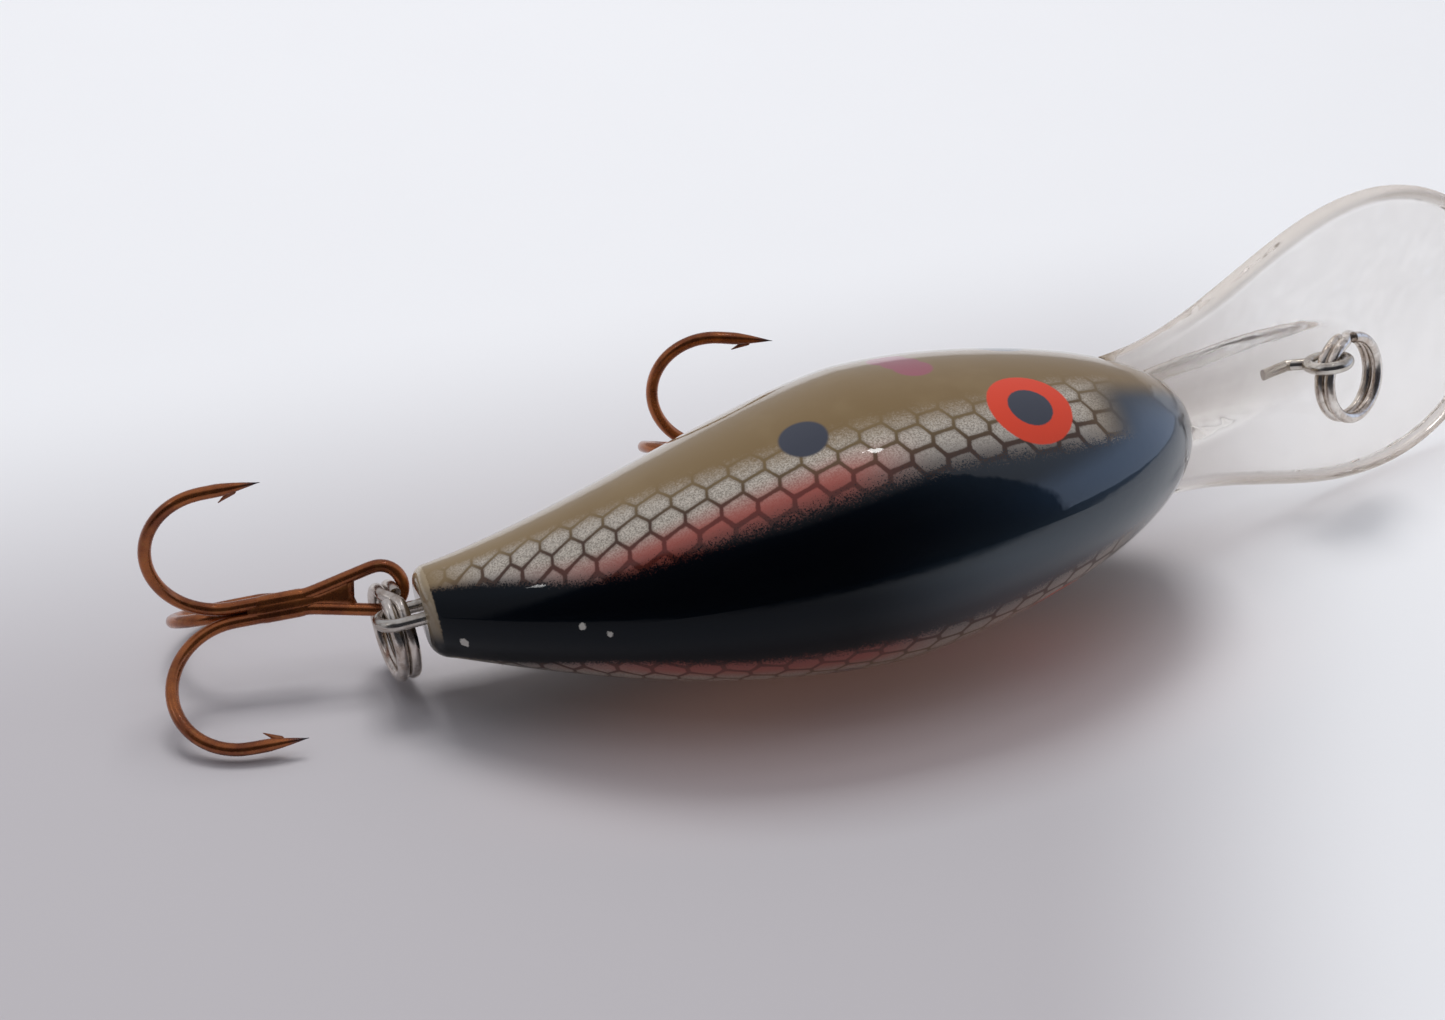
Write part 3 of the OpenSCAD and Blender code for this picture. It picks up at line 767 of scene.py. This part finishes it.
def arc(centre, a_dir, b_dir, radius, start, stop, count):
    angle = np.linspace(start, stop, count)
    return np.asarray(centre) + radius * (np.outer(np.cos(angle), a_dir) + np.outer(np.sin(angle), b_dir))


def split_ring(name, centre, x_dir, z_dir, start, material, body, node):
    """Wire wound through nearly two turns about z_dir. It crosses from one coil to the other half-way."""
    # in radians: how far each cut end stops short, and half of the crossing
    stop_short, cross = 0.10, 0.30
    angle = np.linspace(stop_short, 4 * math.pi - stop_short, 300)
    ramp = np.clip((angle - 2 * math.pi + cross) / (2 * cross), 0, 1)
    height = 1.2 * COIL * (2 * ramp * ramp * (3 - 2 * ramp) - 1)
    angle = angle + start
    y_dir = np.cross(z_dir, x_dir)
    path = centre + RING_R * (np.outer(np.cos(angle), x_dir) + np.outer(np.sin(angle), y_dir))
    points, faces = tube(path + np.outer(height, z_dir), RING_WIRE_R + 0.02, 18, round_ends=False)
    add_piece(name, points, faces, material, body, node, 50, {})


def ring_axes(heading, slant):
    """The split ring's own axes: x from the hanger's crossing to the ring's centre, z its normal."""
    spin = turn((0, 0, 1), heading) @ turn((0, 1, 0), slant)
    return spin @ [1, 0, 0], spin @ [0, -1, 0]


# ---------- treble hooks ----------

HOOK_SIDES = 22
# Share of the point leg at which the taper and the dark tip start
TAPER_FROM, TAPER_POWER, DARK_FROM, DARK_FADE = 0.26, 1.35, 0.62, 0.3
# Barb: its root and its reach from there, in the treble's x and z, and its radius at each end
BARB_ROOT = np.array([SHANK_OFFSET + 2 * BEND_R - 0.20, 0, SHANK_LEN - 1.75])
BARB_REACH, BARB_R, BARB_TIP_R, BARB_DARK = [-0.62, 0, 0.95], 0.24, 0.03, 0.25
# Brazing: where it starts and stops along the shanks, the length of its tapered ends, its radius
# in the middle, its least radius between two shanks, and how far it stands off the wires
BRAZE_START, BRAZE_STOP, BRAZE_FADE = 3.9, SHANK_LEN - 0.9, 1.2
BRAZE_CORE, BRAZE_R, BRAZE_SKIN = 0.30, 0.70, 0.045


def hook_outline(from_z):
    """Centreline of one hook in the treble's axes, with wire radius and darkness towards the tip."""
    shank = np.linspace([SHANK_OFFSET, 0, from_z], [SHANK_OFFSET, 0, SHANK_LEN], 12)[:-1]
    bend = arc([SHANK_OFFSET + BEND_R, 0, SHANK_LEN], [-1, 0, 0], [0, 0, 1], BEND_R, 0, math.pi, 60)
    leg_x = SHANK_OFFSET + 2 * BEND_R
    leg = np.linspace([leg_x, 0, SHANK_LEN], [leg_x + 0.05, 0, SHANK_LEN - POINT_LEN], 30)[1:]
    path = np.vstack([shank, bend, leg])
    drop = np.clip((SHANK_LEN - path[:, 2]) / POINT_LEN, 0, 1) * (path[:, 0] > BEND_R)
    taper = 1 - (np.clip(drop - TAPER_FROM, 0, 1) / (1 - TAPER_FROM)) ** TAPER_POWER
    return path, HOOK_R * np.maximum(0.05, taper), np.clip((drop - DARK_FROM) / DARK_FADE, 0, 1)


def about_z(points, angle):
    return np.asarray(points) @ turn((0, 0, 1), angle).T


def resample(path, wire, dark, step=0.16):
    """Evenly spaced points along a path through its corners, slightly smoothed."""
    length = np.r_[0, np.cumsum(np.linalg.norm(np.diff(path, axis=0), axis=1))]
    keep = np.r_[True, np.diff(length) > 1e-6]
    path, wire, dark, length = path[keep], wire[keep], dark[keep], length[keep]
    at = np.linspace(0, length[-1], int(length[-1] / step))
    out = np.stack([np.interp(at, length, path[:, k]) for k in range(3)], 1)
    for _ in range(6):
        out[1:-1] = 0.5 * out[1:-1] + 0.25 * (out[:-2] + out[2:])
    return out, np.interp(at, length, wire), np.interp(at, length, dark)


def double_hook_path():
    """One wire: point, bend, shank, neck, eye, neck, shank, bend, point."""
    count = 60
    path, wire, dark = hook_outline(NECK_Z + 0.7)
    first, second = (about_z(path, spin) for spin in PAIR_SPINS)
    angle = np.linspace(2 * math.pi + NECK_ANGLE, math.pi - NECK_ANGLE, count)
    loop = np.c_[np.full(count, PAIR_X), EYE_R * np.cos(angle), EYE_R * np.sin(angle)]
    loop_wire = HOOK_R * (1 + 0.04 * np.sin(np.linspace(0, math.pi, count)) ** 2)
    return resample(np.vstack([first[::-1], loop, second]), np.r_[wire[::-1], loop_wire, wire],
                    np.r_[dark[::-1], np.zeros(count), dark])


def hook_wire(path, wire, dark, spins):
    """A bent hook wire with a barb at each of the spins, and the darkness of each point."""
    ring_dark = np.r_[np.full(len(CAP), dark[0]), dark, np.full(len(CAP), dark[-1])]
    parts, shades = [tube(path, wire, HOOK_SIDES)], [np.repeat(ring_dark, HOOK_SIDES)]
    for spin in spins:
        points, faces = tube(np.linspace(BARB_ROOT, BARB_ROOT + BARB_REACH, 8),
                             np.linspace(BARB_R, BARB_TIP_R, 8), 12)
        parts.append((about_z(points, spin), faces))
        shades.append(np.full(len(points), BARB_DARK))
    return (*join(*parts), np.concatenate(shades))


def brazed_sleeve():
    """Brazing alloy round the three shanks, with a shallow groove between them."""
    count = 60
    angle = np.linspace(0, 2 * math.pi, count, endpoint=False)
    reach = np.full(count, BRAZE_R)
    for spin in (0, *PAIR_SPINS):
        inner = HOOK_R ** 2 - (SHANK_OFFSET * np.sin(angle - spin)) ** 2
        wire = SHANK_OFFSET * np.cos(angle - spin) + np.sqrt(np.maximum(inner, 0))
        reach = np.where(inner > 0, np.maximum(reach, wire), reach)
    heights = np.linspace(BRAZE_START, BRAZE_STOP, 40)
    ends = np.minimum(1, np.minimum(heights - BRAZE_START, BRAZE_STOP - heights) / BRAZE_FADE)
    points = []
    for z, end in zip(heights, ends):
        share = 0.55 + 0.45 * math.sin(end * math.pi / 2)
        r = BRAZE_CORE + (reach + BRAZE_SKIN - BRAZE_CORE) * share
        points.append(np.c_[r * np.cos(angle), r * np.sin(angle), np.full(count, z)])
    return np.vstack(points), tube_faces(len(heights), count)


def neck_web():
    """The flattened, alloy-filled blade between the two necks, from the eye to the shanks."""
    count = 28
    heights = np.linspace(EYE_R + 0.05, NECK_Z + 0.4, 24)
    points = []
    for z in heights:
        rise = (z - heights[0]) / (heights[-1] - heights[0])
        neck = EYE_R * math.cos(NECK_ANGLE) - (z - EYE_R * math.sin(NECK_ANGLE)) * math.tan(NECK_ANGLE)
        wide = max(PAIR_Y, neck)
        thick = 0.34 * min(1.0, 0.25 + 4 * rise)
        dip = 0.30 * (1 - min(rise / 0.35, 1.0)) ** 2
        for a in np.linspace(0, 2 * math.pi, count, endpoint=False):
            across, through = math.cos(a), math.sin(a)
            points.append((PAIR_X + thick * through, wide * across, z + dip * (1 - across ** 2)))
    return np.array(points), tube_faces(len(heights), count)


def treble(prefix, place, material, body):
    """The three pieces of a treble hook. place maps the treble's axes to body axes."""
    points, faces, dark = hook_wire(*double_hook_path(), PAIR_SPINS)
    add_piece(prefix + "_double_hook_wire", place(points), faces, material, body,
              prefix + "_double_hook", 60, {"tip": dark})
    points, faces, dark = hook_wire(*resample(*hook_outline(4.3)), (0,))
    add_piece(prefix + "_single_hook_wire", place(points), faces, material, body,
              prefix + "_single_hook", 60, {"tip": dark})
    points, faces = join(brazed_sleeve(), neck_web())
    add_piece(prefix + "_hook_sleeve", place(points), faces, material, body,
              prefix + "_hook_braze", 60, {"tip": np.zeros(len(points))})


def eye_normal(yaw, pitch):
    """Normal of a hook eye's plane, in body axes, for a treble that lies on two of its hooks."""
    nx, ny = 0.5 * math.sin(pitch), math.sin(math.radians(60))
    return LIE.T @ [nx * math.cos(yaw) + ny * math.sin(yaw), ny * math.cos(yaw) - nx * math.sin(yaw),
                    -0.5 * math.cos(pitch)]


def shank_dir(yaw, pitch):
    return LIE.T @ [-math.cos(yaw) * math.cos(pitch), math.sin(yaw) * math.cos(pitch), -math.sin(pitch)]


def hang(prefix, eye, yaw, pitch, slant, swing, under, ring_start):
    """A split ring in its hanger at eye, and the treble that hangs in the ring. yaw and pitch are
    those of the shank on the table, in degrees; slant and swing are the ring's."""
    yaw, pitch, slant, swing = (math.radians(v) for v in (yaw, pitch, slant, swing))
    normal = eye_normal(yaw, pitch)
    heading = math.atan2(normal[1], normal[0]) + swing
    tilt = math.asin(-normal[2]) + (math.pi if under else 0)
    reach = RING_R * (math.cos(slant) + math.sin(tilt))
    crossing = eye + [reach * math.cos(heading), reach * math.sin(heading),
                      RING_R * (math.cos(tilt) - math.sin(slant))]
    x_dir, z_dir = ring_axes(heading, slant)
    split_ring(prefix + "_ring_wire", eye + RING_R * x_dir, x_dir, z_dir, ring_start, ring_metal,
               prefix + "_ring", prefix + "_split_ring")
    spin = turn((0, 0, 1), -yaw) @ turn((0, 1, 0), -math.pi / 2 - pitch) @ turn((0, 0, 1), PAIR_SPINS[0])
    middle = crossing + 0.1 * shank_dir(yaw, pitch)

    def place(points):
        return middle + ((np.asarray(points) - [PAIR_X, 0, 0]) @ spin.T) @ LIE

    treble(prefix, place, bronze, prefix + "_treble")


# ---------- stage ----------

VIEW_DISTANCE, VIEW_RISE, VIEW_SWING, VIEW_ROLL = 150.4, 19.88, 15.16, -9.44
LENS, SHIFT_X, SHIFT_Y = 59.2, -0.0642, -0.0011
# What the lights look at, and half the width of the table, in metres
MIDDLE = Vector((-0.035, 0, -0.004))
TABLE_REACH = 1.6


def add_camera():
    """A camera that looks at the lure's back, from a little towards the tail and the left flank."""
    rise, swing, roll = (math.radians(v) for v in (VIEW_RISE, VIEW_SWING, VIEW_ROLL))
    behind = np.array([-math.sin(swing) * math.cos(rise), -math.cos(swing) * math.cos(rise), math.sin(rise)])
    right = np.cross(-behind, [0, 0, 1])
    right /= np.linalg.norm(right)
    up = np.cross(right, -behind)
    right, up = (math.cos(roll) * right + math.sin(roll) * up, math.cos(roll) * up - math.sin(roll) * right)
    data = bpy.data.cameras.new("camera")
    data.lens, data.sensor_width, data.sensor_fit = LENS, 36.0, "HORIZONTAL"
    data.shift_x, data.shift_y = SHIFT_X, SHIFT_Y
    data.clip_start = 0.005
    camera = bpy.data.objects.new("camera", data)
    bpy.context.scene.collection.objects.link(camera)
    axes = Matrix(np.stack([LIE @ right, LIE @ up, LIE @ behind], 1).tolist()).to_4x4()
    camera.matrix_world = Matrix.Translation(to_row(VIEW_DISTANCE * behind)) @ axes
    bpy.context.scene.camera = camera


def add_light(name, direction, distance, size, power, colour, mirrored=False):
    """An area light that looks at the lure from a direction (azimuth from +Y to +X, elevation). It
    shows in reflections only if it is mirrored."""
    azimuth, rise = (math.radians(v) for v in direction)
    towards = Vector((math.sin(azimuth) * math.cos(rise), math.cos(azimuth) * math.cos(rise), math.sin(rise)))
    data = bpy.data.lights.new(name, "AREA")
    data.shape, data.size, data.size_y = "RECTANGLE", size[0], size[1]
    data.energy, data.color = power, colour
    light = bpy.data.objects.new(name, data)
    bpy.context.scene.collection.objects.link(light)
    light.rotation_euler = towards.to_track_quat("Z", "Y").to_euler()
    light.location = MIDDLE + towards * distance
    light.visible_glossy = mirrored


def add_room():
    """The room: pale to the eye. In light and reflections it is dim all round and dark behind the
    viewer, and in reflections it has a cool bright side to the right."""
    world = bpy.data.worlds.new("soft_room")
    bpy.context.scene.world = world
    net = Net(world, "ShaderNodeOutputWorld")
    direction = net.coordinates("Generated")
    x, y, z = net.split(direction)
    azimuth = net.times(net.math("ARCTAN2", x, y), 180 / math.pi)
    viewer = net.most(net.ease(azimuth, 129.5, 132.0), net.ease(azimuth, -104, -112))
    viewer = net.times(viewer, net.ease(z, 0.90, 0.82))
    cool = net.times(net.times(net.ease(azimuth, 50, 80), net.ease(z, 0.60, 0.30)), net.ray("Glossy"))
    tone = net.mix(net.ease(z, 0.0, 0.8), (0.42, 0.42, 0.45), (0.62, 0.62, 0.66))
    tone = net.mix(cool, tone, (1.0, 1.2, 1.6))
    tone = net.mix(viewer, tone, (0.012, 0.013, 0.020))
    tone = net.mix(net.times(net.noise(direction, 3.0), 0.2), tone, (0.3, 0.3, 0.32))
    tone = net.mix(net.ray("Camera", "Transmission"), tone, (1.01, 1.02, 1.06))
    net.done(net.node("ShaderNodeBackground", Color=tone, Strength=0.85).outputs[0])


def add_table(low):
    far = TABLE_REACH
    corners = [(-far, -far, low), (far, -far, low), (far, far, low), (-far, far, low)]
    mesh = bpy.data.meshes.new("table")
    mesh.from_pydata(corners, [], [(0, 1, 2, 3)])
    mesh.materials.append(floor_material())
    table = bpy.data.objects.new("table", mesh)
    bpy.context.scene.collection.objects.link(table)


def add_stage():
    """The table under the lowest point, the room, four lights and the camera."""
    add_table(cad_box[0][2])
    add_room()
    add_light("key", (4, 66), 0.50, (0.22, 0.17), 1.25, (1.0, 0.99, 0.98))
    add_light("overhead", (0, 86), 0.55, (0.5, 0.4), 0.55, (1.0, 0.99, 1.0))
    add_light("top_glint", (60, 80), 0.6, (0.05, 0.02), 0.05, (1, 1, 1), True)
    add_light("tail_glint", (-92, 38), 0.6, (0.04, 0.02), 0.04, (1, 1, 1), True)
    add_camera()
    bpy.context.scene.view_settings.view_transform = "Standard"


# ---------- the whole lure ----------

def keep_cad(name, material):
    """Shows a CAD node as it is, with a material of its own."""
    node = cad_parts[name]
    node.data.materials.clear()
    node.data.materials.append(material)
    node.data.polygons.foreach_set("use_smooth", [True] * len(node.data.polygons))
    node.data.set_sharp_from_angle(angle=math.radians(40))


paint = paint_material()
clear = clear_material()
wire_metal = metal_material("steel_wire", (0.66, 0.63, 0.58), (0.45, 0.40, 0.35), 0.14, 0.25)
ring_metal = metal_material("plated_ring", (0.76, 0.71, 0.66), (0.50, 0.42, 0.36), 0.16, 0.42)
lead = metal_material("lead_alloy", (0.24, 0.24, 0.25), (0.15, 0.15, 0.16), 0.42)
ball_metal = metal_material("ball_steel", (0.62, 0.62, 0.63), (0.50, 0.50, 0.52), 0.10)
bronze = bronze_material()

body_half("left_body_paint", 1, paint, "left_body_shell")
body_half("right_body_paint", -1, paint, "right_body_shell")
lip_plate(clear)

for name in ("line_tie_wire", "belly_hook_hanger", "tail_hook_hanger"):
    keep_cad(name, wire_metal)
keep_cad("ballast_weight", lead)
for name in ("front_rattle_ball", "rear_rattle_ball"):
    keep_cad(name, ball_metal)

tie_x, tie_z = ring_axes(math.radians(25), math.radians(38))
split_ring("line_tie_ring_wire", LINE_TIE + RING_R * tie_x, tie_x, tie_z, 2.2, ring_metal,
           "tie_ring", "line_tie_ring")
belly_drop = float(belly(BELLY_HANGER_S / BODY_LEN)) + HANGER_REACH - WIRE_R - HANGER_R
belly_eye = np.array([HALF_LEN - BELLY_HANGER_S, belly_drop, 0.0])
hang("belly", belly_eye, yaw=16.4, pitch=-6.1, slant=-28, swing=0, under=True, ring_start=1.0)
tail_eye = np.array([-HALF_LEN - HANGER_REACH + WIRE_R + HANGER_R, 0.0, 0.0])
hang("tail", tail_eye, yaw=7.3, pitch=5.1, slant=35, swing=13, under=False, ring_start=2.6)

add_stage()
